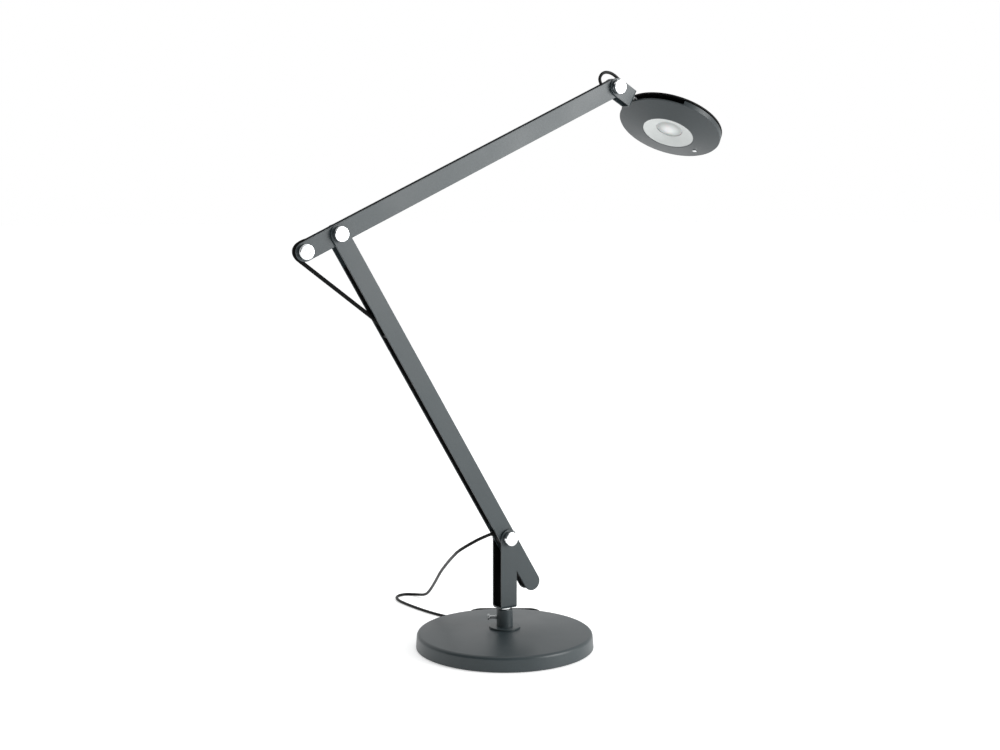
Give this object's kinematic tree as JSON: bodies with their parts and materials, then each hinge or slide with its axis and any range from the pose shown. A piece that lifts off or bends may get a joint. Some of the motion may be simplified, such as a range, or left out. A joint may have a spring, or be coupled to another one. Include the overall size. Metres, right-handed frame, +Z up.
{
  "type": "swing arm desk lamp",
  "caption": "Swing arm desk lamp: round weighted base, swivelling yoke, two jointed flat-bar arms with chrome pivot caps, and a tilting, twisting round light head.",
  "frame": {"origin": "centre of the foot pad's underside, on the swivel axis", "axes": "+Z up; the arms swing in the XZ plane at rest, elbow towards -X and head towards +X; every pivot pin lies along Y"},
  "size_m": [0.5387, 0.3572, 0.6454],
  "materials": {
    "anthracite_steel": "satin powder coat",
    "anthracite_aluminium": "satin powder coat on die-cast aluminium",
    "chromed_steel": "polished",
    "bright_steel": "zinc plated",
    "cast_iron": "matte",
    "foot_foam": "matte",
    "bronze": "satin",
    "nylon": "matte",
    "black_plastic": "matte",
    "cord_sheath": "matte",
    "braided_cord": "matte",
    "plug_metal": "polished",
    "black_aluminium": "black anodised",
    "white_board": "satin",
    "phosphor": "satin",
    "white_reflector": "satin",
    "frosted_lens": "frosted",
    "button_metal": "satin"
  },
  "bodies": {
    "base": {"base_cover": "anthracite_steel", "base_weight": "cast_iron", "foot_pad": "foot_foam", "stem_flange": "anthracite_steel", "stem_collar": "anthracite_steel", "swivel_bushes": "bronze", "clamp_nut": "bright_steel", "clamp_washer": "bright_steel"},
    "thumb_screw": {"thumb_screw": "bright_steel"},
    "yoke": {"yoke": "anthracite_steel", "swivel_shaft": "chromed_steel", "swivel_ring": "chromed_steel", "shoulder_pin": "bright_steel", "shoulder_pin_caps": "chromed_steel", "cable_drum": "black_plastic", "power_cord": "cord_sheath", "cord_hank": "cord_sheath", "cord_tie": "black_plastic", "plug_lead": "cord_sheath", "plug_body": "cord_sheath", "plug_barrel": "plug_metal"},
    "lower_arm": {"lower_plate_front": "anthracite_steel", "lower_plate_back": "anthracite_steel", "lower_channel": "black_plastic", "lower_tail_spacer": "black_plastic", "shoulder_washers": "nylon", "elbow_pin": "bright_steel", "elbow_pin_caps": "chromed_steel", "cord_guide_post": "bright_steel", "spring_anchor": "bright_steel", "balance_spring": "bright_steel", "spring_hooks": "bright_steel", "lower_cable": "cord_sheath", "balance_cord": "braided_cord"},
    "upper_arm": {"upper_plate_front": "anthracite_steel", "upper_plate_back": "anthracite_steel", "upper_channel": "black_plastic", "elbow_washers": "nylon", "elbow_drum": "black_plastic", "tail_saddle": "black_plastic", "tail_pin": "bright_steel", "tail_pin_caps": "chromed_steel", "upper_cable": "cord_sheath", "head_cable": "cord_sheath"},
    "head_bracket": {"head_bracket": "anthracite_steel", "head_washers": "nylon", "head_pin": "bright_steel", "head_pin_caps": "chromed_steel", "twist_stud": "chromed_steel", "stud_nut": "bright_steel"},
    "head": {"head_shell": "anthracite_aluminium", "head_top": "black_plastic", "top_screws": "bright_steel", "heat_sink": "black_aluminium", "hinge_block": "black_plastic", "led_board": "white_board", "led_chip": "phosphor", "reflector": "white_reflector", "lens": "frosted_lens"},
    "switch_button": {"switch_button": "button_metal"}
  },
  "joints": [
    {"name": "base_swivel", "type": "hinge", "parent": "base", "child": "yoke", "pos_m": [0, 0, 0.0454], "axis": [0, 0, 1], "continuous": true},
    {"name": "thumb_turn", "type": "hinge", "parent": "base", "child": "thumb_screw", "pos_m": [0, 0, 0.0338], "axis": [-0.8434, 0.5373, 0], "range_deg": [0, 270]},
    {"name": "shoulder", "type": "hinge", "parent": "yoke", "child": "lower_arm", "pos_m": [0, 0, 0.1255], "axis": [0, 1, 0], "range_deg": [-25, 70]},
    {"name": "elbow", "type": "hinge", "parent": "lower_arm", "child": "upper_arm", "pos_m": [-0.20395, 0, 0.46494], "axis": [0, 1, 0], "range_deg": [-50, 45], "deforming": ["balance_cord"]},
    {"name": "head_tilt", "type": "hinge", "parent": "upper_arm", "child": "head_bracket", "pos_m": [0.14736, 0, 0.62727], "axis": [0, 1, 0], "range_deg": [-60, 60], "deforming": ["head_cable"]},
    {"name": "head_twist", "type": "hinge", "parent": "head_bracket", "child": "head", "pos_m": [0.14954, 0, 0.6312], "axis": [0.8746, 0, -0.4848], "range_deg": [-35, 55]},
    {"name": "switch_press", "type": "slide", "parent": "head", "child": "switch_button", "axis": [0.2902, 0.17, 0.9417], "range_m": [0, 0.0008], "stiffness_N_per_m": 300}
  ]
}
